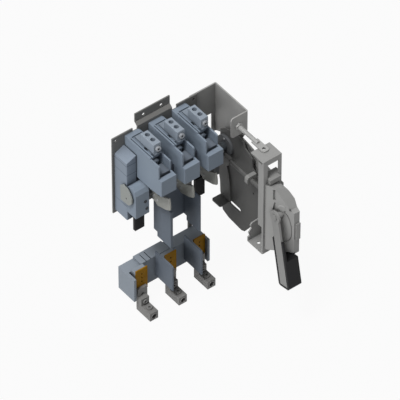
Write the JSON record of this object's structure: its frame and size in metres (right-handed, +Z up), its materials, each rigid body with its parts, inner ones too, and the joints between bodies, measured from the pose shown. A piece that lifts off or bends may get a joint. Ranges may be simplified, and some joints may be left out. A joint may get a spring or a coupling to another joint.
{
  "type": "electrical disconnect switch",
  "caption": "Three-pole visible-blade disconnect switch on a plate, with an external flange handle, drive rod and fuse block.",
  "frame": {"origin": "middle of the four mounting holes, on the face that lies on the panel", "axes": "+X to the handle side, +Y into the panel, +Z up"},
  "size_m": [0.231, 0.2596, 0.423],
  "materials": {
    "dark_sheet": "satin dark grey paint",
    "grey_sheet": "satin grey paint",
    "zinc_steel": "zinc plated",
    "cover_grey": "satin grey paint",
    "blue_plastic": "moulded blue-grey",
    "lug_aluminium": "machined",
    "load_lug_metal": "satin",
    "brass": "satin",
    "black_plastic": "moulded black",
    "sector_white": "off-white",
    "blade_metal": "tin plated copper",
    "chute_steel": "dark steel"
  },
  "bodies": {
    "root": {"mounting_plate": "dark_sheet", "side_bracket": "grey_sheet", "side_arm": "grey_sheet", "mechanism_plate": "dark_sheet", "mechanism_spacers": "zinc_steel", "foot_bracket": "dark_sheet", "brace_rod": "zinc_steel", "brace_nuts": "zinc_steel", "handle_frame": "zinc_steel", "switch_base": "blue_plastic", "left_end_cover": "blue_plastic", "left_bearing_housing": "blue_plastic", "right_bearing_housing": "blue_plastic", "insulators": "black_plastic", "line_screws": "lug_aluminium", "rod_guide": "zinc_steel", "handle_cover": "cover_grey", "phase_barrier": "blue_plastic", "rear_strap": "dark_sheet", "fuse_base": "blue_plastic", "fuse_barriers": "blue_plastic", "load_screws": "load_lug_metal", "plate_screws": "zinc_steel", "pole_1": "blue_plastic", "line_contact_1": "blade_metal", "line_lug_1": "lug_aluminium", "arc_chute_1": "chute_steel", "clip_plate_1": "brass", "load_lug_1": "load_lug_metal", "pole_2": "blue_plastic", "line_contact_2": "blade_metal", "line_lug_2": "lug_aluminium", "arc_chute_2": "chute_steel", "clip_plate_2": "brass", "load_lug_2": "load_lug_metal", "pole_3": "blue_plastic", "line_contact_3": "blade_metal", "line_lug_3": "lug_aluminium", "arc_chute_3": "chute_steel", "clip_plate_3": "brass", "load_lug_3": "load_lug_metal"},
    "rotor": {"rotor_shaft": "black_plastic", "blade_1": "blade_metal", "blade_2": "blade_metal", "blade_3": "blade_metal", "end_sector": "sector_white", "rotor_crank": "zinc_steel"},
    "drive": {"drive_rod": "zinc_steel"},
    "handle": {"handle_lever": "cover_grey", "handle_grip": "black_plastic", "handle_shaft": "zinc_steel"},
    "catch": {"door_catch": "zinc_steel"}
  },
  "joints": [
    {"name": "handle_turn", "type": "hinge", "parent": "root", "child": "handle", "pos_m": [0.098, -0.217, -0.051], "axis": [-1, 0, 0], "range_deg": [0, 150]},
    {"name": "rotor_turn", "type": "hinge", "parent": "root", "child": "rotor", "pos_m": [0, -0.048, -0.022], "axis": [-1, 0, 0], "range_deg": [0, 80]},
    {"name": "drive_slide", "type": "slide", "parent": "root", "child": "drive", "axis": [0, -1, 0], "range_m": [0, 0.047]},
    {"name": "catch_slide", "type": "slide", "parent": "root", "child": "catch", "axis": [0, 0, 1], "range_m": [0, 0.02]}
  ],
  "couplings": [
    {"joint": "rotor_turn", "follows": "handle_turn", "ratio": 0.53332},
    {"joint": "drive_slide", "follows": "handle_turn", "m_per_rad": 0.017952}
  ]
}
